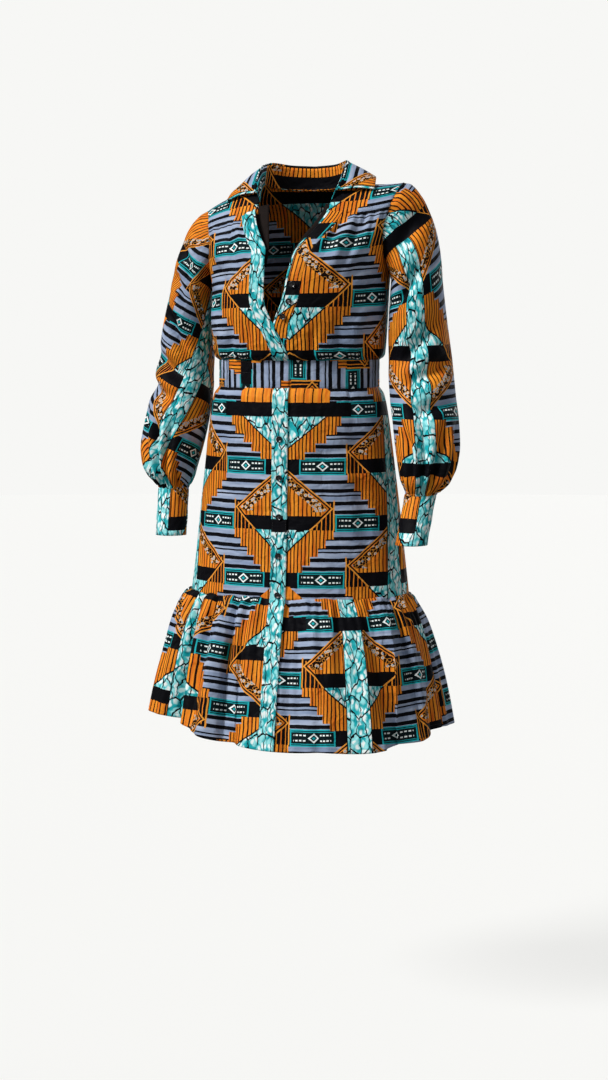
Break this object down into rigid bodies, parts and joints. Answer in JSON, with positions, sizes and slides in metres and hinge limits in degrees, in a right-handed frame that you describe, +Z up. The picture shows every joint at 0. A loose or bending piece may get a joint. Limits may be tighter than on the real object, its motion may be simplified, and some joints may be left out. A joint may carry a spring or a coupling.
{
  "type": "wax print shirt dress",
  "caption": "Knee-length wax print shirt dress in its worn form: spread collar, open neck, bishop sleeves with deep cuffs, waistband, button placket and gathered hem flounce.",
  "frame": {"origin": "on the wearer's shoulder line, midway between the shoulders and above the waist's centre; mount shoulders", "axes": "+Z up, -Y the wearer's front, +X the wearer's left; the dress hangs along Z"},
  "size_m": [0.6, 0.4185, 1.039],
  "materials": {
    "wax_print_cotton": "matte",
    "teal_print_cotton": "matte",
    "dark_facing_cotton": "matte",
    "black_button_plastic": "polished"
  },
  "bodies": {
    "root": {"bodice_front_right": "wax_print_cotton", "bodice_front_left": "wax_print_cotton", "bodice_back": "wax_print_cotton", "yoke_right": "wax_print_cotton", "yoke_left": "wax_print_cotton", "collar_stand": "wax_print_cotton", "collar_leaf": "wax_print_cotton", "waistband": "wax_print_cotton", "skirt_front_right": "wax_print_cotton", "skirt_front_left": "wax_print_cotton", "skirt_back": "wax_print_cotton", "flounce_front_right": "wax_print_cotton", "flounce_front_left": "wax_print_cotton", "flounce_back": "wax_print_cotton", "sleeve_right": "wax_print_cotton", "sleeve_left": "wax_print_cotton", "cuff_right": "wax_print_cotton", "cuff_left": "wax_print_cotton", "button_band_left": "wax_print_cotton", "placket_bodice": "teal_print_cotton", "placket_skirt": "teal_print_cotton", "facing_right": "dark_facing_cotton", "facing_left": "dark_facing_cotton", "button_bodice_1": "black_button_plastic", "button_bodice_2": "black_button_plastic", "button_bodice_3": "black_button_plastic", "button_skirt_1": "black_button_plastic", "button_skirt_2": "black_button_plastic", "button_skirt_3": "black_button_plastic", "button_skirt_4": "black_button_plastic", "button_skirt_5": "black_button_plastic", "button_cuff_right_1": "black_button_plastic", "button_cuff_right_2": "black_button_plastic", "button_cuff_left_1": "black_button_plastic", "button_cuff_left_2": "black_button_plastic"}
  },
  "joints": []
}
